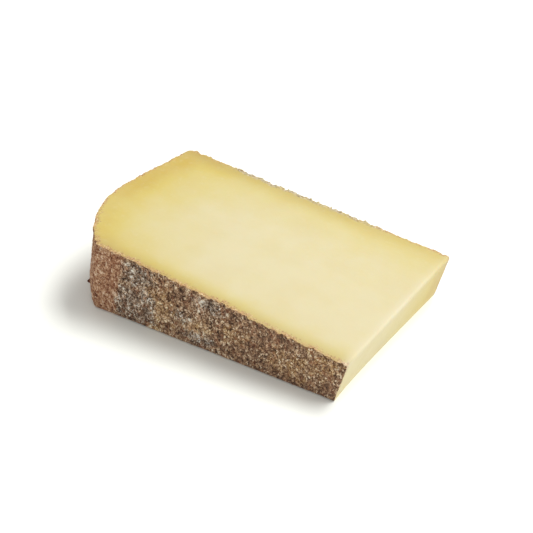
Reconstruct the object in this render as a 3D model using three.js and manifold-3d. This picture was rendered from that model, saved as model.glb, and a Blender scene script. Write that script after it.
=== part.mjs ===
// A cut piece from a large wheel of hard mountain cheese, lying on one of its two long knife-cut faces.
//
// It is made the way the real piece is. The wheel is a disc with two flat rind faces and a bulging heel,
// and its axis runs along Y here, because the piece lies on its side. Two long cuts towards the middle of
// the wheel take out a wedge, and one short cut across it takes the thin tip away and leaves the nose.
//
// Millimetres. +X runs from the heel to the nose, +Y across the height of the wheel, and +Z is up.
// The origin is on the face that the piece rests on, in the middle of the rectangle that it covers.

import * as THREE from 'three';
import Module from 'manifold-3d';
import { mergeVertices } from 'three/addons/utils/BufferGeometryUtils.js';

// The whole wheel
const WHEEL_RADIUS = 334; // at the crown, where the heel bulges most
const WHEEL_HEIGHT = 110; // between the two flat rind faces
const CROWN_OFFSET = -1; // of the crown from mid-height
const FRONT_HEEL_RADIUS = 68; // the half of the heel that rolls in towards the front rind face
const BACK_HEEL_RADIUS = 350; // the nearly straight half towards the back rind face
const FRONT_RIDGE_RADIUS = 4; // where the heel meets the front rind face
const BACK_RIDGE_RADIUS = 3; // where the heel meets the back rind face
const CORE_RADIUS = 120; // the middle of the wheel stays out, since the cuts take it away
const WHEEL_FACETS = 240; // around the whole wheel
const ARC_STEPS = 6; // half the number of facets along each arc of the wheel's outline

// The three cuts
const AXIS_DROP = 24; // from the lower long cut down to the wheel's axis, which the knife missed
const WEDGE_ANGLE = 6.95; // degrees between the two long cuts
const CROSS_TILT = 1.45; // degrees by which the upper cut rises towards the back rind face
const NOSE_THICKNESS = 24.2; // at the middle of the nose
const NOSE_DISTANCE = 152.6; // from the wheel's axis to the upper edge of the nose
const NOSE_UNDERCUT = 14.8; // degrees by which the nose leans out over its lower edge

const wasm = await Module();
wasm.setup();

/** Turns a closed three.js geometry into a solid that can be cut. */
function solid(geometry) {
  geometry.deleteAttribute('normal');
  geometry.deleteAttribute('uv');
  const merged = mergeVertices(geometry);
  const mesh = new wasm.Mesh({
    numProp: 3,
    vertProperties: new Float32Array(merged.attributes.position.array),
    triVerts: new Uint32Array(merged.index.array),
  });
  return new wasm.Manifold(mesh);
}

/** Turns a solid back into a three.js geometry. */
function surface(body) {
  const mesh = body.getMesh();
  const geometry = new THREE.BufferGeometry();
  geometry.setAttribute('position', new THREE.BufferAttribute(mesh.vertProperties, 3));
  geometry.setIndex(new THREE.BufferAttribute(mesh.triVerts, 1));
  geometry.computeVertexNormals();
  return geometry;
}

/** The small arc where one half of the heel meets its rind face: its centre, and where the heel joins it. */
function ridge(heelRadius, ridgeRadius, ridgeY) {
  const rise = ridgeY - CROWN_OFFSET;
  const reach = Math.sqrt((heelRadius - ridgeRadius) ** 2 - rise ** 2);
  return { x: WHEEL_RADIUS - heelRadius + reach, y: ridgeY, heelAngle: Math.atan2(rise, reach) };
}

/** Half of the wheel's cross-section, as a closed outline: x is the distance from the axis, y is Y. */
function wheelOutline() {
  const halfHeight = WHEEL_HEIGHT / 2;
  const front = ridge(FRONT_HEEL_RADIUS, FRONT_RIDGE_RADIUS, FRONT_RIDGE_RADIUS - halfHeight);
  const back = ridge(BACK_HEEL_RADIUS, BACK_RIDGE_RADIUS, halfHeight - BACK_RIDGE_RADIUS);
  const outline = new THREE.Path();
  outline.moveTo(CORE_RADIUS, halfHeight);
  outline.lineTo(CORE_RADIUS, -halfHeight);
  outline.absarc(front.x, front.y, FRONT_RIDGE_RADIUS, -Math.PI / 2, front.heelAngle);
  outline.absarc(WHEEL_RADIUS - FRONT_HEEL_RADIUS, CROWN_OFFSET, FRONT_HEEL_RADIUS, front.heelAngle, 0);
  outline.absarc(WHEEL_RADIUS - BACK_HEEL_RADIUS, CROWN_OFFSET, BACK_HEEL_RADIUS, 0, back.heelAngle);
  outline.absarc(back.x, back.y, BACK_RIDGE_RADIUS, back.heelAngle, Math.PI / 2);
  outline.closePath();
  return outline.getPoints(ARC_STEPS);
}

/** A block that stands for everything on the outer side of a plane, for a knife cut to remove. */
function beyond(point, outward) {
  const size = 4 * WHEEL_RADIUS;
  const block = new THREE.BoxGeometry(size, size, size);
  block.translate(0, 0, size / 2);
  const up = new THREE.Vector3(0, 0, 1);
  block.applyQuaternion(new THREE.Quaternion().setFromUnitVectors(up, outward.normalize()));
  block.translate(point.x, point.y, point.z);
  return solid(block);
}

/** The wedge, cut out of the wheel, with the lower cut at z = 0 and the wheel's axis over x = 0. */
function cutPiece() {
  const degrees = Math.PI / 180;
  const wheel = solid(new THREE.LatheGeometry(wheelOutline(), WHEEL_FACETS)).translate([0, 0, -AXIS_DROP]);
  const noseEdge = new THREE.Vector3(-NOSE_DISTANCE, 0, NOSE_THICKNESS);
  const noseLean = NOSE_UNDERCUT * degrees;
  const slope = Math.tan(WEDGE_ANGLE * degrees);
  const crossSlope = Math.tan(CROSS_TILT * degrees);
  return wheel
    .subtract(beyond(new THREE.Vector3(), new THREE.Vector3(0, 0, -1)))
    .subtract(beyond(noseEdge, new THREE.Vector3(slope, -crossSlope, 1)))
    .subtract(beyond(noseEdge, new THREE.Vector3(Math.cos(noseLean), 0, -Math.sin(noseLean))));
}

function makeCheeseWedge() {
  const geometry = surface(cutPiece());
  geometry.computeBoundingBox();
  const middle = geometry.boundingBox.getCenter(new THREE.Vector3());
  geometry.translate(-middle.x, -middle.y, -geometry.boundingBox.min.z);
  const paste = new THREE.MeshStandardMaterial({ color: 0xe9dca9, roughness: 0.55, metalness: 0 });
  const mesh = new THREE.Mesh(geometry, paste);
  mesh.name = 'cheese_wedge';
  return mesh;
}

const group = new THREE.Group();
group.add(makeCheeseWedge());

export default group;
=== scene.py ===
"""The looks of a cut piece of hard mountain cheese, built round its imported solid.

The piece is one closed mesh, in millimetres until the last step. A fine grid makes the rind: it starts at
the nose, runs along the front face, round the heel and back along the back face, and every point of it is
pushed in or out by the rind's grains, lumps and pits. Three fills close it: the upper cut, the cut that
it rests on, and the nose. Values on the mesh, such as the depth under the rind, steer the materials.
"""

import math

import bpy
import numpy as np
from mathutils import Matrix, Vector, geometry, kdtree, noise


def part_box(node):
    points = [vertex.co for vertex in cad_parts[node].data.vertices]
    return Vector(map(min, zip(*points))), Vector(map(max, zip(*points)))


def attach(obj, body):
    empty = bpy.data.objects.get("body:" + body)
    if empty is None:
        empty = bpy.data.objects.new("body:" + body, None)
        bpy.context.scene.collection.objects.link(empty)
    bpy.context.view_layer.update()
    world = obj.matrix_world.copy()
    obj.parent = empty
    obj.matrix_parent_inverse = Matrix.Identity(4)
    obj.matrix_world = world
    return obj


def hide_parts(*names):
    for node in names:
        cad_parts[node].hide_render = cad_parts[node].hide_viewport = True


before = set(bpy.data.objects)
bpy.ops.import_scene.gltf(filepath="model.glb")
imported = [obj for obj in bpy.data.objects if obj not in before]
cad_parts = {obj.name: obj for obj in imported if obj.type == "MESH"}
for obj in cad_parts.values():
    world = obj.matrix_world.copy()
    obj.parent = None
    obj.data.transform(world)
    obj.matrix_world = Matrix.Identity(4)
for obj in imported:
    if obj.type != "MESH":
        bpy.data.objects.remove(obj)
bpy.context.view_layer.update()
LOW, HIGH = (np.array(corner) * 1000 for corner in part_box("cheese_wedge"))

# The wheel that the piece was cut from
WHEEL_RADIUS = 334.0
CROWN_OFFSET = -1.0  # Y at which the heel reaches farthest out
FRONT_HEEL_RADIUS = 68.0  # how the heel rolls in from there towards the front face
BACK_HEEL_RADIUS = 350.0
FRONT_RIDGE_RADIUS = 5.0  # of the small round between the heel and the front face
BACK_RIDGE_RADIUS = 3.0
AXIS_DROP = 24.0  # how far the wheel's axis lies below the lower cut
AXIS_X = LOW[0] + math.sqrt(WHEEL_RADIUS**2 - AXIS_DROP**2)
FRONT_Y = LOW[1]
BACK_Y = HIGH[1]

# The cuts
NOSE_THICKNESS = 24.2
NOSE_REACH = 152.6  # from the wheel's axis to the upper edge of the nose
NOSE_X = AXIS_X - NOSE_REACH
TOP_SLOPE = math.tan(math.radians(6.95))
TOP_CROSS_SLOPE = math.tan(math.radians(1.45))
NOSE_LEAN_FRONT = math.tan(math.radians(15.0))
NOSE_LEAN_BACK = math.tan(math.radians(9.6))
NOSE_BOW = 2.2  # how far the lower edge of the nose is drawn in, behind its front corner
NOSE_BOW_SPREAD = 0.2  # share of the width over which that sets in
NOSE_ROUND = 1.6  # radius of the upper edge of the nose

# The rind
FOOT_ROUND = 1.2  # of the lower edge along the rind faces
HEEL_FOOT_ROUND = 6.5  # of the lower edge round the heel
HEEL_BULGE = 1.3  # of the heel, low down
HEEL_BULGE_Z = 11.0
HEEL_BULGE_SPREAD = 9.0
BACK_CRUST = 0.9  # how far the crust of the back rind stands out
HOLLOW_DEPTH = 0.6  # of the hollow along the upper edge of the front face
HOLLOW_START = -55.0
HOLLOW_LENGTH = 110.0
STRAY_CRUMB = (-71.2, -47.4, 10.0)  # a dark crumb that sticks out of the heel
STRAY_CRUMB_RADIUS = 1.0
STRAY_CRUMB_HEIGHT = 1.5
STRAY_CRUMB_GRAIN = -1.5  # darker than any pit
RED_END = -50.5  # X where the redder rind of the heel ends on the front face, at the foot
RED_LEAN = 0.28  # how far that border moves towards the nose for each millimetre of height
# Patches on the front rind face: X, Z, half length and half height
MOULD_PATCHES = [
    (-33.0, 30.0, 10.0, 8.0),
    (-38.0, 11.0, 12.0, 11.0),
    (-26.0, 15.0, 5.0, 12.0),
    (-4.0, 15.0, 6.0, 4.0),
    (6.0, 5.0, 11.0, 4.0),
    (12.0, 27.0, 9.0, 4.0),
]
OCHRE_PATCHES = [
    (-17.0, 18.0, 9.0, 13.0),
    (-22.0, 2.0, 5.0, 4.0),
    (4.0, 12.0, 12.0, 5.0),
    (28.0, 17.0, 9.0, 6.0),
    (62.0, 12.0, 16.0, 8.0),
    (78.0, 20.0, 12.0, 8.0),
]

# The paste, with depths counted in from the rind
HEEL_GOLD_DEPTH = 7.0  # full gold up to here
HEEL_GOLD_FADE = 23.0
BACK_GOLD_DEPTH = 4.0  # full gold up to here
BACK_GOLD_FADE = 16.0
FRONT_GOLD_DEPTH = 9.0
# Reach of the darker band along the front and back rims: partly a duller tone of the paste, partly
# painted shade
FRONT_DULL_AND_SHADE_DEPTH = 6.0
BACK_DULL_AND_SHADE_DEPTH = 7.5
RIM_WIDTH = 1.4  # of the crumbled rim of the upper cut

# The mesh
CELL = 0.56  # between the lines of the rind grid
ROWS = 80  # of the rind grid, from the lower cut to the upper
NOSE_POINTS = 190  # along each of the upper and the lower edge of the nose
TOUCH = 0.01  # a point nearer to a face than this lies on it
# Points inside a cut face: their spacing, and the distances from the outline between which it holds
CUT_BANDS = [(0.75, 0.45, 2.6), (1.5, 2.6, 8.0), (3.0, 8.0, 200.0)]
REST_BANDS = [(1.2, 0.6, 4.0), (4.0, 4.0, 200.0)]
SHEET = 312.0  # side of the square that the surface is laid out on for baking
# The low corner of each group of faces, or chart, on that square
SHEET_CORNERS = {
    "top": (4, 4),
    "bottom": (195, 4),
    "nose": (195, 196),
    "back": (3, 124),
    "front": (3, 176),
    "heel": (3, 228),
}

# The studio and the camera, in metres and degrees
FLOOR_SIDE = 50.0
FLOOR_COLOUR = (0.95, 0.963, 0.91, 1)
WORLD_STRENGTH = 0.57
LAMP_AZIMUTH = 50.5  # from +X towards +Y
LAMP_ELEVATION = 58.2
LAMP_DISTANCE = 2.6
LAMP_SIZE = (2.12, 0.96)
LAMP_POWER = 67.0
CAMERA_AZIMUTH = 32.98  # from -Y towards +X
CAMERA_ELEVATION = 31.0
CAMERA_DISTANCE = 0.5211
CAMERA_TARGET = (0.0089, 0.0026, 0.02)
CAMERA_LENS = 66.0  # in mm
CAMERA_SENSOR = 36.0  # in mm

# Colours. The stops of a ramp run from pits to the tops of crumbs, and in the paste from pale to golden.
# The darkness of the rind's pits is partly its own colour and partly painted shade.
PASTE_STOPS = [(0.0, "d0c59d"), (0.35, "ccbe83"), (0.7, "c8b566"), (1.0, "c0a653")]
FRONT_CRUST_STOPS = [(0.36, "6b452d"), (0.45, "a87d54"), (0.56, "c4a173"), (0.68, "e6d6b0")]
REAR_CRUST_STOPS = [(0.36, "4d3c2e"), (0.43, "94805f"), (0.53, "b9aa88"), (0.64, "e3dcc8")]
BROWN_STOPS = [(0.16, "2e2018"), (0.36, "62483a"), (0.52, "8e6a4f"), (0.68, "c19871"), (0.82, "f4e1c0")]
GREY_STOPS = [(0.16, "2c221c"), (0.36, "5b4a3f"), (0.52, "8e7e6d"), (0.66, "c0b3a4"), (0.80, "f8f4ec")]
GOLD_STOPS = [(0.16, "33231a"), (0.36, "745237"), (0.52, "aa7e4f"), (0.68, "dab27a"), (0.82, "fbe8bd")]
RUST_STOPS = [(0.16, "562f22"), (0.36, "87563f"), (0.52, "b17e5d"), (0.68, "d5ac88"), (0.84, "f2dfc8")]
LIP_STOPS = [(0.16, "5d3e2a"), (0.4, "9a7351"), (0.6, "c29d73"), (0.8, "ead8b6")]
MOTTLE_COLOUR = "c7b683"
FLECK_COLOUR = "d7cfad"
# Darker olive tint along the rims: partly the paste's own tone, partly painted shade
DULL_AND_SHADE_COLOUR = "a18a58"
# Paler tint of the nose; at its foot it is painted reflected light from the floor
PALE_AND_REFLECTION_COLOUR = "f0e0b4"
# Whitish tint of the nose's upper edge: partly dry bloom, partly painted highlight
BLOOM_AND_HIGHLIGHT_COLOUR = "d9d1ba"


# ---------------------------------------------------------------- noise


def _shifted(points, size, seed):
    """The points counted in units of size, and moved to a stretch of the noise of their own."""
    shift = Vector((seed * 17.3, seed * 31.7, seed * 53.9))
    return [Vector(p) + shift for p in (points / size).tolist()]


def smooth_noise(points, size, seed, octaves=1):
    """Noise of about -1 to 1. Size is the width of its features in mm, or one width for each axis."""
    return np.array([noise.fractal(p, 1.0, 2.0, octaves) for p in _shifted(points, np.array(size), seed)])


def fade(value, start, end):
    """0 before start, 1 after end, and a smooth step between."""
    step = np.clip((value - start) / (end - start), 0, 1)
    return step * step * (3 - 2 * step)


# ---------------------------------------------------------------- shape of the piece


def heel_x(radius, z):
    """The X at height z of a cylinder of that radius about the wheel's axis."""
    return AXIS_X - np.sqrt(radius**2 - (z + AXIS_DROP) ** 2)


def nose_x(y, z):
    """The X of the nose, which leans in more at the front, and whose lower edge is bowed in."""
    across = (y - FRONT_Y) / (BACK_Y - FRONT_Y)
    lean = NOSE_LEAN_FRONT + (NOSE_LEAN_BACK - NOSE_LEAN_FRONT) * across
    bow = NOSE_BOW * (1 - np.exp(-np.maximum(across, 0) / NOSE_BOW_SPREAD))
    return NOSE_X - (NOSE_THICKNESS - z) * (lean + bow / NOSE_THICKNESS)


def top_z(x, y):
    """The height of the upper cut."""
    return NOSE_THICKNESS + TOP_SLOPE * (NOSE_X - x) + TOP_CROSS_SLOPE * y


def ridge(heel_radius, ridge_radius, ridge_y):
    """Centre of the small arc between heel and rind face, from the wheel's axis, and where it ends."""
    rise = ridge_y - CROWN_OFFSET
    reach = math.sqrt((heel_radius - ridge_radius) ** 2 - rise**2)
    return WHEEL_RADIUS - heel_radius + reach, math.atan2(rise, reach)


def arc(centre, radius, start, end):
    """Points on an arc of the wheel's outline, a cell apart, and the way out at each."""
    steps = max(3, round(radius * abs(end - start) / CELL))
    angles = np.linspace(start, end, steps, endpoint=False)
    out = np.stack([np.cos(angles), np.sin(angles)], axis=1)
    return np.array(centre) + radius * out, out


def rind_columns():
    """The upright lines of the rind grid, in order.

    Each has a wheel radius, a Y, a share of the way from the nose (0) to the heel (1), and a way out. The
    last two results are the numbers of the columns at which the heel and the back face start.
    """
    front_y = FRONT_Y + FRONT_RIDGE_RADIUS
    back_y = BACK_Y - BACK_RIDGE_RADIUS
    front_r, front_angle = ridge(FRONT_HEEL_RADIUS, FRONT_RIDGE_RADIUS, front_y)
    back_r, back_angle = ridge(BACK_HEEL_RADIUS, BACK_RIDGE_RADIUS, back_y)
    arcs = [
        arc((front_r, front_y), FRONT_RIDGE_RADIUS, -math.pi / 2, front_angle),
        arc((WHEEL_RADIUS - FRONT_HEEL_RADIUS, CROWN_OFFSET), FRONT_HEEL_RADIUS, front_angle, 0),
        arc((WHEEL_RADIUS - BACK_HEEL_RADIUS, CROWN_OFFSET), BACK_HEEL_RADIUS, 0, back_angle),
        arc((back_r, back_y), BACK_RIDGE_RADIUS, back_angle, math.pi / 2),
    ]
    heel = np.concatenate([points for points, _ in arcs])
    heel_out = np.concatenate([out for _, out in arcs])
    nose_r = AXIS_X - NOSE_X
    front_share = np.linspace(0, 1, round((front_r - nose_r) / CELL), endpoint=False)
    back_share = np.linspace(1, 0, round((back_r - nose_r) / CELL))
    radius = np.concatenate([front_share * 0 + front_r, heel[:, 0], back_share * 0 + back_r])
    y = np.concatenate([front_share * 0 + FRONT_Y, heel[:, 1], back_share * 0 + BACK_Y])
    share = np.concatenate([front_share, heel[:, 0] * 0 + 1, back_share])
    out = np.zeros((len(y), 2))
    out[: len(front_share)] = (0, -1)
    out[len(front_share) : len(front_share) + len(heel)] = heel_out * (-1, 1)
    out[len(front_share) + len(heel) :] = (0, 1)
    return radius, y, share, out, len(front_share), len(front_share) + len(heel)


def column_x(radius, y, share, z):
    """The X of columns at height z, which is a mean of the nose and the heel's cylinder."""
    return nose_x(y, z) * (1 - share) + heel_x(radius, z) * share


def rind_grid():
    """The smooth rind surface as (row, column) points.

    With it come the way out of each column, how far along the rind it lies, and the numbers of the
    columns at which the heel and the back face start.
    """
    radius, y, share, out, heel_start, back_start = rind_columns()
    top = np.full(len(y), NOSE_THICKNESS)
    for _ in range(12):  # the height depends on X and the other way round, which settles in a few rounds
        top = top_z(column_x(radius, y, share, top), y)
    z = np.linspace(0, 1, ROWS + 1)[:, None] * top
    x = column_x(radius, y, share, z)
    points = np.stack([x, np.broadcast_to(y, x.shape), z], axis=2)
    middle = points[ROWS // 2]
    steps = np.linalg.norm(np.diff(middle[:, :2], axis=0), axis=1)
    along = np.concatenate([[0], np.cumsum(steps)])
    return points, out, along, heel_start, back_start


# ---------------------------------------------------------------- rind relief


def crumbs(points, size, seed):
    """Domes packed side by side, each of its own random height: most are low and a few stand tall."""
    heights = []
    for place in _shifted(points, np.array(size), seed):
        distances, centres = noise.voronoi(place)
        tall = 0.5 + 0.5 * noise.cell(centres[0] * 9.7)
        heights.append(tall * tall * max(0.0, 1 - distances[0] ** 2))
    return np.array(heights)


def rind_relief(points, heel, back):
    """How far the rind stands out, in mm, and its grain from 0 (a pit) to 1 (the top of a crumb)."""
    coarse = crumbs(points, (2.1, 2.1, 2.8), 1)
    medium = crumbs(points, (1.2, 1.2, 1.6), 2)
    fine = smooth_noise(points, 1.0, 3, 2)
    streaks = smooth_noise(points, (1.3, 1.3, 9.0), 4, 2)
    lumps = smooth_noise(points, 7.0, 5, 2)
    waves = smooth_noise(points, 34.0, 6)
    pits = fade(smooth_noise(points, 2.6, 7, 2), 0.15, 0.5)

    rough = 0.8 * coarse + 0.7 * medium + 0.3 * fine - 0.4 * pits
    worn = 0.3 * coarse + 0.2 * streaks + 0.2 * fine
    relief = rough * (1 - heel) + worn * heel
    grain = np.clip(0.45 + 0.55 * (relief - 0.2), 0, 1)
    height = 0.95 * (relief - 0.3) + lumps * (0.4 + 0.6 * back - 0.1 * heel) + waves * 0.6
    height = height * (1 - 0.3 * even_share(points))

    # The rind is flatter where it rests, and torn where the knife went in along the upper cut
    resting = 0.25 + 0.75 * fade(points[:, 2], 0.0, 5.0)
    near_rim = fade(points[:, 2] / top_z(points[:, 0], points[:, 1]), 0.86, 1.0)
    torn = near_rim * (0.85 * smooth_noise(points, (3.6, 3.6, 2.4), 8, 3) + 0.1)
    height = height * resting + torn * (1 - 0.5 * heel) + BACK_CRUST * back

    crumb = stray_crumb(points)
    dark = fade(crumb, 0.0, 0.4)
    return height + STRAY_CRUMB_HEIGHT * crumb, grain * (1 - dark) + STRAY_CRUMB_GRAIN * dark


def stray_crumb(points):
    """1 on the one crumb that sticks out of the heel, and 0 away from it."""
    away = np.linalg.norm(points - STRAY_CRUMB, axis=1)
    return np.exp(-((away / STRAY_CRUMB_RADIUS) ** 4))


def even_share(points):
    """1 where the rind is more even and finer in grain, which is towards the nose."""
    return fade(points[:, 0], 10.0, 50.0)


def foot_inset(z, heel):
    """How far the lower edge of the rind draws in where it rolls under."""
    radius = FOOT_ROUND + (HEEL_FOOT_ROUND - FOOT_ROUND) * heel
    below = np.clip(radius - z, 0, radius)
    return radius - np.sqrt(radius**2 - below**2)


def patches(points, spots, seed):
    """How much a patch covers each point, 0 to 1, with ragged borders."""
    x, _, z = points.T
    ragged = 0.55 * smooth_noise(points, 5.0, seed, 3)
    cover = np.zeros(len(points))
    for spot_x, spot_z, half_length, half_height in spots:
        away = np.hypot((x - spot_x) / half_length, (z - spot_z) / half_height)
        cover = np.maximum(cover, 1 - fade(away + ragged, 0.55, 1.25))
    return cover


def rind_tints(points, heel):
    """Mould, ochre and red cover of the rind, its paler lip by the upper cut, and where it is more even.

    Mould and ochre are placed on the front face and left to chance on the back.
    """
    x, y, z = points.T
    back = fade(y, -30.0, 10.0)
    mould_chance = fade(smooth_noise(points, 15.0, 31, 3), 0.0, 0.35)
    ochre_chance = fade(smooth_noise(points, 13.0, 32, 3), 0.0, 0.35)
    mould = patches(points, MOULD_PATCHES, 33) * (1 - back) + mould_chance * back
    ochre = patches(points, OCHRE_PATCHES, 34) * (1 - back) + ochre_chance * back

    border = RED_END + RED_LEAN * z + 3.0 * smooth_noise(points, 6.0, 35, 3)
    border = border + 14.0 * back * smooth_noise(points, 20.0, 37, 2)
    red = 1 - fade(x - border, -3.0 - 5.0 * back, 3.0 + 5.0 * back)
    red = red * (1 - 0.8 * back * fade(smooth_noise(points, 17.0, 36, 3), 0.0, 0.3))

    level = z / top_z(x, y)
    lip = 0.45 * fade(level, 0.95, 1.0) + 0.4 * heel * fade(level, 0.72, 1.0)
    return {
        "mould": mould * (1 - 0.75 * red),
        "ochre": ochre * (1 - red),
        "red": red,
        "lip": lip,
        "even": even_share(points),
    }


def front_hollow(points):
    """How far the front rind face sinks in along the middle of its upper edge."""
    x, y, z = points.T
    along = np.sin(np.clip((x - HOLLOW_START) / HOLLOW_LENGTH, 0, 1) * math.pi)
    upper = fade(z / top_z(x, y), 0.35, 1.0)
    front = fade(-y, -FRONT_Y - 8.0, -FRONT_Y)
    return HOLLOW_DEPTH * along * upper * front


# ---------------------------------------------------------------- mesh assembly


class Piece:
    """Vertices, faces and the bake chart of each face, gathered before they become one Blender mesh."""

    def __init__(self):
        self.points = np.zeros((0, 3))
        self.faces = []
        self.charts = []

    def add_points(self, points):
        start = len(self.points)
        self.points = np.concatenate([self.points, points])
        return np.arange(start, len(self.points))

    def add_faces(self, faces, chart):
        self.faces.extend(faces)
        self.charts.extend([chart] * len(faces))


def inside(points, loop):
    """Which points lie inside a closed outline: their line in +X crosses it an odd number of times."""
    x, y = points[:, :1], points[:, 1:]
    start_x, start_y = loop.T
    end_x, end_y = np.roll(loop, -1, axis=0).T
    crosses = (start_y > y) != (end_y > y)
    rise = np.where(end_y == start_y, 1, end_y - start_y)
    at = start_x + (y - start_y) * (end_x - start_x) / rise
    return (crosses & (x < at)).sum(axis=1) % 2 == 1


def scatter(low, high, spacing, rng):
    """Staggered rows of points, in triangles with equal sides, each moved a little at random."""
    rows = np.arange(low[1], high[1], spacing * 0.87)
    lines = []
    for number, y in enumerate(rows):
        x = np.arange(low[0] + spacing * 0.5 * (number % 2), high[0], spacing)
        lines.append(np.stack([x, np.full(len(x), y)], axis=1))
    points = np.concatenate(lines)
    return points + rng.uniform(-0.22, 0.22, points.shape) * spacing


def fill(loop, bands, seed):
    """New points inside a flat outline, and the triangles that join them to it.

    A band is (spacing, from, to): its points are that far apart, and from..to away from the outline.
    """
    rng = np.random.default_rng(seed)
    tree = kdtree.KDTree(len(loop))
    for index, (x, y) in enumerate(loop.tolist()):
        tree.insert((x, y, 0), index)
    tree.balance()
    kept = []
    for spacing, nearest, farthest in bands:
        points = scatter(loop.min(axis=0), loop.max(axis=0), spacing, rng)
        away = np.array([tree.find((x, y, 0))[2] for x, y in points.tolist()])
        points = points[(away >= nearest) & (away < farthest)]
        kept.append(points[inside(points, loop)])
    inner = np.concatenate(kept)
    corners = [Vector(p) for p in np.concatenate([loop, inner]).tolist()]
    edges = [(i, (i + 1) % len(loop)) for i in range(len(loop))]
    inside_only = 1
    vertices, _, triangles, *_ = geometry.delaunay_2d_cdt(corners, edges, [], inside_only, 1e-7)
    if len(vertices) != len(corners):
        raise ValueError("the outline of a cut face crosses itself")
    return inner, triangles


def close_face(piece, loop, axes, depth, bands, chart, seed):
    """Fills an outline, given by vertex numbers, that is drawn in two axes.

    Depth gives the third coordinate from those two.
    """
    outline = piece.points[loop][:, axes]
    inner, triangles = fill(outline, bands, seed)
    points = np.zeros((len(inner), 3))
    points[:, axes] = inner
    points[:, 3 - sum(axes)] = depth(inner[:, 0], inner[:, 1])
    numbers = np.concatenate([loop, piece.add_points(points)])
    looks_down = chart == "bottom"
    faces = [tuple(int(numbers[i]) for i in (reversed(t) if looks_down else t)) for t in triangles]
    piece.add_faces(faces, chart)


def between(start, end, count):
    """Points strictly between two corners, evenly spaced."""
    share = np.linspace(0, 1, count + 2)[1:-1, None]
    return start * (1 - share) + end * share


def round_nose(points):
    """Rounds the upper edge of the nose: squares about the arc's centre become circles."""
    x, y, z = points.T
    inward = nose_x(y, z) - x
    down = top_z(x, y) - z
    across = NOSE_ROUND - inward
    upward = NOSE_ROUND - down
    near = (across > 0) & (upward > 0)
    longest = np.maximum(across, upward)
    scale = np.where(near, longest / np.maximum(np.hypot(across, upward), 1e-9), 1)
    moved = points.copy()
    moved[:, 0] -= np.where(near, across * (1 - scale), 0)
    moved[:, 2] -= np.where(near, upward * (1 - scale), 0)
    return moved


def chart_place(chart, points, along):
    """Where vertices lie on the bake sheet, from 0 to 1, in the chart that their faces belong to.

    Along is how far each one lies along the rind from where the chart starts.
    """
    x, y, z = points.T
    cut_places = {
        "top": (x - LOW[0], y - LOW[1]),
        "bottom": (y - LOW[1], x - LOW[0]),
        "nose": (y - LOW[1], z),
    }
    place = np.stack(cut_places.get(chart, (along, z)), axis=1)
    return (place + SHEET_CORNERS[chart]) / SHEET


def rough_rind(grid, out, heel, back):
    """The rind grid pushed in and out by its relief, with its edges still on the cuts, and its grain."""
    smooth = grid.reshape(-1, 3)
    height, grain = rind_relief(smooth, heel, back)
    height = height - front_hollow(smooth) - foot_inset(smooth[:, 2], heel)
    off_bulge = (smooth[:, 2] - HEEL_BULGE_Z) / HEEL_BULGE_SPREAD
    height = height + HEEL_BULGE * heel * np.exp(-(off_bulge**2))
    rind = grid.copy()
    rind[:, :, :2] += out * height.reshape(grid.shape[:2])[:, :, None]
    rind[-1, :, 2] = top_z(rind[-1, :, 0], rind[-1, :, 1])
    for end in (0, -1):
        rind[:, end, 0] = nose_x(rind[:, end, 1], rind[:, end, 2])
    return rind, grain


def nose_edges(rind):
    """Points along the upper and the lower edge of the nose, from the back rind to the front."""
    upper = between(rind[-1, -1], rind[-1, 0], NOSE_POINTS)
    for _ in range(3):  # the height depends on X and the other way round, which settles in a few rounds
        upper[:, 2] = top_z(upper[:, 0], upper[:, 1])
        upper[:, 0] = nose_x(upper[:, 1], upper[:, 2])
    lower = between(rind[0, -1], rind[0, 0], NOSE_POINTS)
    lower[:, 0] = nose_x(lower[:, 1], lower[:, 2])
    return upper, lower


def close_cuts(piece, numbers, upper, lower):
    """Fills the upper cut, the cut that the piece rests on, and the nose."""
    top_loop = np.concatenate([numbers[-1], upper])
    bottom_loop = np.concatenate([numbers[0], lower])
    nose_loop = np.concatenate([numbers[:, 0], upper[::-1], numbers[::-1, -1], lower])
    close_face(piece, top_loop, [0, 1], top_z, CUT_BANDS, "top", 11)
    close_face(piece, bottom_loop, [0, 1], lambda x, y: x * 0, REST_BANDS, "bottom", 12)
    close_face(piece, nose_loop, [1, 2], nose_x, CUT_BANDS, "nose", 13)


def build_piece():
    """The whole cheese as one closed mesh.

    With it come the values that steer its materials, which vertices are on a sharp rim, how far along the
    rind each vertex lies, and where on that way the charts of the heel and the back face start.
    """
    grid, out, along, heel_start, back_start = rind_grid()
    rows, columns = grid.shape[:2]
    # Shares from 0 to 1: the heel is where the rind faces along the piece, and the back is at high Y
    heel = np.broadcast_to(fade(np.abs(out[:, 0]), 0.35, 0.95), (rows, columns)).ravel()
    back = np.broadcast_to(fade(grid[0, :, 1], 40.0, 55.0), (rows, columns)).ravel()
    rind, grain = rough_rind(grid, out, heel, back)

    piece = Piece()
    numbers = piece.add_points(rind.reshape(-1, 3)).reshape(rows, columns)
    for column in range(columns - 1):
        chart = "front" if column < heel_start else "heel" if column < back_start else "back"
        left, right = numbers[:, column].tolist(), numbers[:, column + 1].tolist()
        piece.add_faces([(left[r], left[r + 1], right[r + 1], right[r]) for r in range(rows - 1)], chart)
    upper, lower = [piece.add_points(edge) for edge in nose_edges(rind)]
    close_cuts(piece, numbers, upper, lower)

    rind_values = {"grain": grain, **rind_tints(grid.reshape(-1, 3), heel)}
    values = surface_values(piece.points, rind, rind[:, heel_start:back_start], rind_values)
    rim = np.zeros(len(piece.points), bool)
    for edge in (numbers[0], numbers[-1], numbers[:, 0], numbers[:, -1], lower):
        rim[edge] = True
    whole_along = np.zeros(len(piece.points))
    whole_along[: rows * columns] = np.broadcast_to(along, (rows, columns)).ravel()
    starts = {"heel": along[heel_start], "back": along[back_start]}
    return piece, values, rim, whole_along, starts


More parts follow.
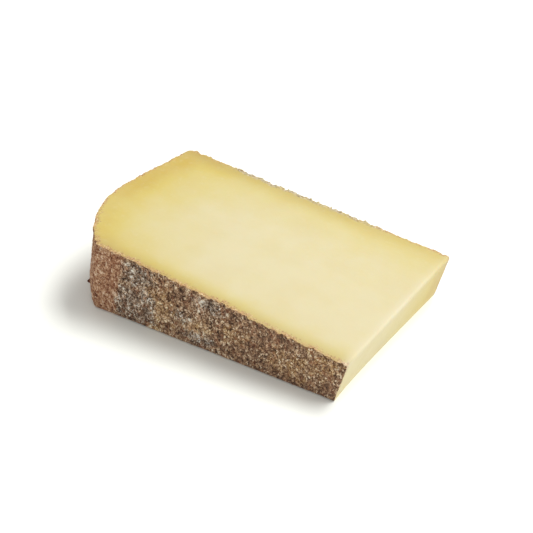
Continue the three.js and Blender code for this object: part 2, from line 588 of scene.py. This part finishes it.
def surface_values(points, rind, heel_rind, rind_values):
    """The numbers that steer the materials, by name. The rind's vertices come first in points."""
    is_rind = np.arange(len(points)) < rind.shape[0] * rind.shape[1]
    values = {}
    for name, on_rind in rind_values.items():
        values[name] = np.zeros(len(points))
        values[name][is_rind] = on_rind
    values["under_rind"] = depth_under_rind(points, rind, is_rind)
    values["nose_edge"] = nose_edge(points)
    values.update(paste_tints(points, heel_rind))
    values["front"] = fade(-points[:, 1], 20.0, 38.0)
    values["rear"] = rear_crust_share(points)
    return values


def depth_under_rind(points, rind, is_rind):
    """How far each point of a cut face lies from the rind, in mm, and 0 on the rind itself."""
    outline = np.concatenate([rind[-1, ::2], rind[0, ::2]])
    tree = kdtree.KDTree(len(outline))
    for index, point in enumerate(outline.tolist()):
        tree.insert(point, index)
    tree.balance()
    depth = np.zeros(len(points))
    for index in np.flatnonzero(~is_rind):
        x, y, z = points[index]
        if abs(nose_x(y, z) - x) < TOUCH:
            depth[index] = min(y - FRONT_Y, BACK_Y - y)
        else:
            level = top_z(x, y) if z > TOUCH else 0
            depth[index] = tree.find((x, y, level))[2]
    return np.maximum(depth, 0)


def paste_tints(points, heel_rind):
    """How golden the paste is near the rind, how much darker it gets along the front and back rims,
    partly a duller tone and partly painted shade, and how pale it is on the nose, with painted reflected
    floor light at its foot.

    The gold is deepest by the heel, whose rind is given.
    """
    x, y, z = points.T
    from_heel = np.full(len(points), np.inf)
    for corner_x, corner_y in heel_rind[-1, ::2, :2]:
        from_heel = np.minimum(from_heel, np.hypot(x - corner_x, y - corner_y))
    from_front = np.maximum(y - FRONT_Y, 0)
    from_back = np.maximum(BACK_Y - y, 0)
    nose = fade(x - nose_x(y, z), -1.5, -0.2) * (z < top_z(x, y) - 0.5)

    by_heel = np.minimum(1, np.exp((HEEL_GOLD_DEPTH - from_heel) / HEEL_GOLD_FADE))
    by_heel = by_heel * (1 - fade(from_heel, 35.0, 80.0)) * (1 - 0.2 * fade(-y, -5.0, 25.0))
    by_front = 0.78 * np.exp(-((from_front / FRONT_GOLD_DEPTH) ** 2))
    by_front = by_front * (1 - 0.4 * fade(x, 0.0, 75.0)) * (1 - 0.4 * fade(-x, 25.0, 60.0))
    by_front = by_front * (1 - 0.8 * nose)
    by_back = 0.66 * np.minimum(1, np.exp((BACK_GOLD_DEPTH - from_back) / BACK_GOLD_FADE))
    by_back = np.minimum(1, by_back * (1 + 0.5 * nose) + 0.3 * nose * fade(y, -25.0, 40.0))
    gold = 1 - (1 - by_heel) * (1 - by_front) * (1 - by_back)

    # A darker band along the front and back rims: partly a duller tone of the paste, partly painted shade
    # of the rim
    dull_and_shade_front = np.exp(-((from_front / FRONT_DULL_AND_SHADE_DEPTH) ** 2)) * fade(x, LOW[0] + 5.0, LOW[0] + 40.0)
    dull_and_shade_back = np.exp(-((from_back / BACK_DULL_AND_SHADE_DEPTH) ** 2)) * (1 - 0.5 * fade(x, 10.0, 80.0))
    dull_and_shade = np.maximum(dull_and_shade_front * (1 - nose), dull_and_shade_back)
    # Paler all over the nose, and paler still at its foot, where the extra is painted reflected light
    # from the floor
    pale = nose * (0.2 + 0.2 * (1 - fade(z, 0.0, 6.0)))
    return {"gold": gold, "dull_and_shade": dull_and_shade, "pale": pale}


def rear_crust_share(points):
    """1 where the crust along the back rim is thick and grey: about the middle of the back face."""
    x, y, _ = points.T
    ragged = 14.0 * smooth_noise(points, 11.0, 24, 2)
    return fade(y, 15.0, 40.0) * (1 - fade(np.abs(x + ragged), 28.0, 55.0))


def nose_edge(points):
    """1 on the upper edge of the nose, less towards the back, and 0 a few millimetres away from it. It
    steers a whitish tint there that is partly dry bloom of the paste and partly painted highlight.
    """
    x, y, z = points.T
    away = np.hypot(nose_x(y, z) - x, top_z(x, y) - z)
    return (1 - fade(away, 0.0, 6.0)) * (1 - 0.5 * fade(y, 0.0, 50.0))


def settle(piece, values):
    """Where the vertices end up, with an uneven upper cut, its crumbled rim, and a rounded nose edge."""
    points = piece.points.copy()
    depth = values["under_rind"]
    x, y, z = points.T
    on_top = (depth > 0) & (np.abs(top_z(x, y) - z) < TOUCH)
    drag = smooth_noise(points, (30.0, 9.0, 9.0), 21)
    points[:, 2] += np.where(on_top, 0.14 * drag * fade(depth, 0.5, 6.0), 0)
    at_rim = (np.abs(top_z(x, y) - z) < TOUCH) & (depth < RIM_WIDTH)
    sunk = 0.45 * np.abs(smooth_noise(points, 1.5, 22, 2))
    points[:, 2] -= np.where(at_rim, sunk * (1 - depth / RIM_WIDTH), 0)
    crumb = fade(smooth_noise(points, 1.7, 23, 2), -0.1, 0.6)
    points[:, 2] += np.where(at_rim, (0.3 + 0.5 * values["rear"]) * crumb, 0)
    return round_nose(points)


def make_mesh(name):
    """The Blender mesh of the piece, in metres. Its first material is the paste, its second the rind."""
    piece, values, rim, along, starts = build_piece()
    mesh = bpy.data.meshes.new(name)
    mesh.from_pydata((settle(piece, values) * 0.001).tolist(), [], piece.faces)
    charts = np.array(piece.charts)
    mesh.polygons.foreach_set("material_index", np.isin(charts, ("front", "heel", "back")).astype(int))
    mesh.polygons.foreach_set("use_smooth", np.ones(len(charts), bool))

    for label, numbers in values.items():
        mesh.attributes.new(label, "FLOAT", "POINT").data.foreach_set("value", numbers)
    ends = np.zeros(len(mesh.edges) * 2, int)
    mesh.edges.foreach_get("vertices", ends)
    sharp = mesh.attributes.new("sharp_edge", "BOOLEAN", "EDGE")
    sharp.data.foreach_set("value", rim[ends].reshape(-1, 2).all(axis=1))

    corner_vertex = np.zeros(len(mesh.loops), int)
    mesh.loops.foreach_get("vertex_index", corner_vertex)
    corner_chart = np.repeat(charts, [len(face) for face in piece.faces])
    sheet = np.zeros((len(corner_vertex), 2))
    for chart in np.unique(charts):
        mine = corner_chart == chart
        own = corner_vertex[mine]
        sheet[mine] = chart_place(chart, piece.points[own], along[own] - starts.get(chart, 0))
    mesh.uv_layers.new(name="OFBake").data.foreach_set("uv", sheet.ravel())
    mesh.update()
    return mesh


# ---------------------------------------------------------------- materials


def paint(code):
    """A colour as the shaders want it, from six hexadecimal digits."""
    parts = [int(code[i : i + 2], 16) / 255 for i in (0, 2, 4)]
    linear = [c / 12.92 if c <= 0.04045 else ((c + 0.055) / 1.055) ** 2.4 for c in parts]
    return (*linear, 1.0)


class Look:
    """A node material, built one node at a time. Lengths are in millimetres."""

    def __init__(self, name):
        self.material = bpy.data.materials.new(name)
        self.material.use_nodes = True
        self.nodes = self.material.node_tree.nodes
        self.links = self.material.node_tree.links
        self.shader = self.nodes["Principled BSDF"]
        place = self.node("TexCoord").outputs["Object"]
        self.place = self.stretched(place, (1000, 1000, 1000))

    def feed(self, socket, value):
        if isinstance(value, bpy.types.NodeSocket):
            self.links.new(value, socket)
        else:
            socket.default_value = value

    def node(self, kind, inputs=(), **settings):
        made = self.nodes.new("ShaderNode" + kind)
        for name, value in settings.items():
            setattr(made, name, value)
        for name, value in dict(inputs).items():
            self.feed(made.inputs[name], value)
        return made

    def stretched(self, place, scale):
        return self.node("VectorMath", {0: place, 1: scale}, operation="MULTIPLY").outputs[0]

    def value(self, name):
        """One of the values that the mesh carries."""
        return self.node("Attribute", attribute_name=name).outputs["Fac"]

    def noise(self, size, detail, roughness=0.5, place=None):
        inputs = {"Scale": 1 / size, "Detail": detail, "Roughness": roughness}
        return self.node("TexNoise", {"Vector": place or self.place, **inputs}).outputs["Fac"]

    def warped(self, size, amount):
        """The place pushed about at random, by up to about half the amount."""
        inputs = {"Vector": self.place, "Scale": 1 / size, "Detail": 2.0}
        push = self.node("TexNoise", inputs).outputs["Color"]
        push = self.node("VectorMath", {0: push, 1: (0.5, 0.5, 0.5)}, operation="SUBTRACT").outputs[0]
        push = self.stretched(push, (amount, amount, amount))
        return self.node("VectorMath", {0: self.place, 1: push}, operation="ADD").outputs[0]

    def cells(self, size, stretch, tilt, place):
        """Two random values from 0 to 1, each even over one ragged cell of about the given size."""
        inputs = {"Vector": place, "Axis": (0, 1, 0), "Angle": math.radians(tilt)}
        turned = self.node("VectorRotate", inputs, rotation_type="AXIS_ANGLE").outputs[0]
        inputs = {"Vector": self.stretched(turned, stretch), "Scale": 1 / size}
        colour = self.node("TexVoronoi", inputs).outputs["Color"]
        parts = self.node("SeparateColor", {"Color": colour})
        return parts.outputs[0], parts.outputs[1]

    def total(self, *parts):
        """The sum of (share, value) pairs. With a value of 1.0, the share itself is added."""
        whole = 0.0
        for share, value in parts:
            whole = self.math("ADD", self.math("MULTIPLY", value, share), whole)
        return whole

    def math(self, operation, first, second):
        return self.node("Math", {0: first, 1: second}, operation=operation).outputs[0]

    def spread(self, value, low, high, to_low=0.0, to_high=1.0):
        """Maps low..high to to_low..to_high, with soft ends."""
        inputs = {"Value": value, "From Min": low, "From Max": high, "To Min": to_low, "To Max": to_high}
        return self.node("MapRange", inputs, interpolation_type="SMOOTHSTEP").outputs[0]

    def blend(self, share, first, second):
        """The first colour where the share is 0, and the second where it is 1."""
        return self.node("Mix", {0: share, 6: first, 7: second}, data_type="RGBA").outputs[2]

    def ramp(self, value, stops):
        """A colour for each value, from (value, colour code) stops."""
        made = self.node("ValToRGB", {"Fac": value})
        elements = made.color_ramp.elements
        while len(elements) < len(stops):
            elements.new(0.5)
        for element, (at, code) in zip(elements, stops):
            element.position = at
            element.color = paint(code)
        return made.outputs["Color"]

    def bump(self, height, strength, distance, before=None):
        """A bumpy normal, on top of the one before. The distance is in metres, unlike other lengths."""
        inputs = {"Height": height, "Strength": strength, "Distance": distance}
        if before is not None:
            inputs["Normal"] = before
        return self.node("Bump", inputs).outputs["Normal"]


def crust_cover(look, rear):
    """How much of the thin crust covers the edge of the cut. It is ragged, and all but gone in places."""
    ragged = look.math("MULTIPLY", look.math("SUBTRACT", look.noise(1.3, 3.0, 0.75), 0.36), 9.0)
    in_front = look.math("MULTIPLY", ragged, look.value("front"))
    width = look.total((0.55, ragged), (0.55, in_front), (1.0, rear))
    cover = look.spread(look.math("SUBTRACT", look.value("under_rind"), width), 0.0, 1.3, 0.9, 0.0)
    return look.math("MULTIPLY", cover, look.spread(look.noise(9.0, 2.0), 0.4, 0.58, 0.35, 1.0))


def paste_look():
    """The cut paste: pale inside, golden near the rind, with a thin crust at the very edge."""
    look = Look("cheese_paste")
    rear = look.value("rear")
    fine = look.noise(3.0, 3.0, 0.6)
    uneven = look.math("SUBTRACT", look.noise(14.0, 3.0), 0.5)
    gold = look.total((1.0, look.value("gold")), (0.35, uneven))
    body = look.ramp(gold, PASTE_STOPS)
    mottle = look.spread(look.noise(24.0, 3.0, 0.55), 0.35, 0.7, 0.0, 0.22)
    body = look.blend(mottle, body, paint(MOTTLE_COLOUR))
    body = look.blend(look.spread(fine, 0.5, 0.85, 0.0, 0.2), body, paint(FLECK_COLOUR))
    # Darker band along the rims: partly a duller tone, partly painted shade
    body = look.blend(look.math("MULTIPLY", look.value("dull_and_shade"), 0.35), body, paint(DULL_AND_SHADE_COLOUR))

    speck = look.noise(0.9, 3.0, 0.8)
    crust = look.blend(rear, look.ramp(speck, FRONT_CRUST_STOPS), look.ramp(speck, REAR_CRUST_STOPS))
    body = look.blend(crust_cover(look, rear), body, crust)
    # Paler nose, its foot lightened with painted reflected floor light
    body = look.blend(look.value("pale"), body, paint(PALE_AND_REFLECTION_COLOUR))
    # Whitish band along the upper edge of the nose: partly dry bloom of the paste, partly painted
    # highlight where the rounded edge catches the light
    bloom_and_highlight = look.math("MULTIPLY", look.value("nose_edge"), 0.4)
    look.feed(look.shader.inputs["Base Color"], look.blend(bloom_and_highlight, body, paint(BLOOM_AND_HIGHLIGHT_COLOUR)))

    look.feed(look.shader.inputs["Roughness"], look.spread(fine, 0.3, 0.75, 0.5, 0.65))
    drag = look.noise(1.0, 2.0, 0.6, look.stretched(look.place, (0.05, 0.9, 0.9)))
    normal = look.bump(drag, 0.12, 0.0004)
    normal = look.bump(look.noise(0.7, 3.0, 0.7), 0.12, 0.0003, normal)
    look.feed(look.shader.inputs["Normal"], normal)
    look.shader.inputs["Subsurface Weight"].default_value = 0.2
    look.shader.inputs["Subsurface Radius"].default_value = (1.0, 0.6, 0.25)
    look.shader.inputs["Subsurface Scale"].default_value = 0.003
    look.shader.inputs["Specular IOR Level"].default_value = 0.3
    return look.material


def rind_look():
    """The natural rind: pits darkened partly in its own colour and partly with painted shade, brown body,
    tan crumbs, grey mould, and a redder, streaked heel.
    """
    look = Look("cheese_rind")
    mould = look.value("mould")
    ochre = look.value("ochre")
    red = look.value("red")
    even = look.value("even")
    grain = look.value("grain")
    place = look.warped(1.1, 1.3)
    large, large_hue = look.cells(1.5, (1.0, 1.0, 0.62), 32.0, place)
    small, small_hue = look.cells(0.72, (1.0, 1.0, 0.7), -28.0, place)
    dust = look.noise(0.5, 2.0, 0.8)
    fleck = look.spread(small_hue, 0.84, 0.9)
    streaks = look.noise(1.0, 3.0, 0.7, look.stretched(place, (1.0, 1.0, 0.16)))
    blotch = look.noise(5.0, 3.0, 0.7)

    # The grain darkens the colour in the pits: partly the rind's own colour, partly painted shade in its
    # hollows
    clumps = look.total((0.34, grain), (0.24, large), (-0.26, 1.0))
    clumps = look.math("MULTIPLY", clumps, look.spread(even, 0.0, 1.0, 1.0, 0.55))
    crumbly = look.total((1.0, clumps), (0.34, small), (1.0, dust), (0.17, fleck), (-0.22, 1.0))
    crumbly = look.total((1.0, crumbly), (-0.015, even), (0.05, ochre), (0.03, mould))
    worn = look.total((0.25, grain), (0.15, large), (0.3, small), (1.0, dust))
    worn = look.total((1.0, worn), (0.4, streaks), (0.4, blotch), (-0.73, 1.0))
    shade = look.blend(look.math("MULTIPLY", red, 0.85), crumbly, worn)

    golden = look.total((1.0, ochre), (0.12, 1.0))
    golden = look.math("MULTIPLY", golden, look.spread(large_hue, 0.2, 0.7, 0.2, 1.0))
    greyed = look.total((0.7, mould), (0.2, 1.0))
    greyed = look.math("MULTIPLY", greyed, look.spread(small_hue, 0.1, 0.7, 0.3, 1.0))
    rusty = look.total((0.8, red), (0.55, look.spread(large_hue, 0.72, 0.9)))
    body = look.ramp(shade, BROWN_STOPS)
    body = look.blend(golden, body, look.ramp(shade, GOLD_STOPS))
    body = look.blend(greyed, body, look.ramp(shade, GREY_STOPS))
    body = look.blend(rusty, body, look.ramp(shade, RUST_STOPS))
    body = look.blend(look.value("lip"), body, look.ramp(shade, LIP_STOPS))

    look.feed(look.shader.inputs["Base Color"], body)
    look.feed(look.shader.inputs["Roughness"], look.spread(shade, 0.3, 0.7, 0.95, 0.7))
    look.feed(look.shader.inputs["Normal"], look.bump(shade, 0.6, 0.0008))
    look.shader.inputs["Specular IOR Level"].default_value = 0.25
    return look.material


# ---------------------------------------------------------------- the piece, the studio and the camera


def add_object(name, data):
    made = bpy.data.objects.new(name, data)
    bpy.context.scene.collection.objects.link(made)
    return made


def add_cheese():
    mesh = make_mesh("cheese")
    mesh.materials.append(paste_look())
    mesh.materials.append(rind_look())
    cheese = add_object("cheese", mesh)
    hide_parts("cheese_wedge")
    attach(cheese, "root")


def add_floor():
    half = FLOOR_SIDE / 2
    corners = [(-half, -half, 0), (half, -half, 0), (half, half, 0), (-half, half, 0)]
    mesh = bpy.data.meshes.new("floor")
    mesh.from_pydata(corners, [], [(0, 1, 2, 3)])
    look = Look("floor")
    look.shader.inputs["Base Color"].default_value = FLOOR_COLOUR
    look.shader.inputs["Roughness"].default_value = 0.9
    look.shader.inputs["Specular IOR Level"].default_value = 0.0
    mesh.materials.append(look.material)
    add_object("floor", mesh)


def aim(made, target, way, distance):
    """Puts a lamp or a camera that far from its target, facing it."""
    made.location = Vector(target) + way * distance
    made.rotation_euler = way.to_track_quat("Z", "Y").to_euler()


def add_lights():
    """A white sky, and one large soft lamp behind the piece and to the right of it in the picture."""
    world = bpy.data.worlds.new("studio")
    world.use_nodes = True
    back = world.node_tree.nodes["Background"]
    back.inputs["Color"].default_value = (1, 1, 1, 1)
    back.inputs["Strength"].default_value = WORLD_STRENGTH
    bpy.context.scene.world = world

    lamp = bpy.data.lights.new("key", "AREA")
    lamp.shape = "RECTANGLE"
    lamp.size, lamp.size_y = LAMP_SIZE
    lamp.energy = LAMP_POWER
    turn, rise = math.radians(LAMP_AZIMUTH), math.radians(LAMP_ELEVATION)
    way = Vector((math.cos(turn) * math.cos(rise), math.sin(turn) * math.cos(rise), math.sin(rise)))
    aim(add_object("key", lamp), (0, 0, 0), way, LAMP_DISTANCE)


def add_camera():
    """Looks at the piece from the front right and above, as its picture was taken."""
    camera = bpy.data.cameras.new("camera")
    camera.sensor_width = CAMERA_SENSOR
    camera.lens = CAMERA_LENS
    camera.clip_start = 0.01
    turn, rise = math.radians(CAMERA_AZIMUTH), math.radians(CAMERA_ELEVATION)
    way = Vector((math.sin(turn) * math.cos(rise), -math.cos(turn) * math.cos(rise), math.sin(rise)))
    made = add_object("camera", camera)
    aim(made, CAMERA_TARGET, way, CAMERA_DISTANCE)
    bpy.context.scene.camera = made


bpy.context.scene.view_settings.view_transform = "Standard"
add_cheese()
add_floor()
add_lights()
add_camera()
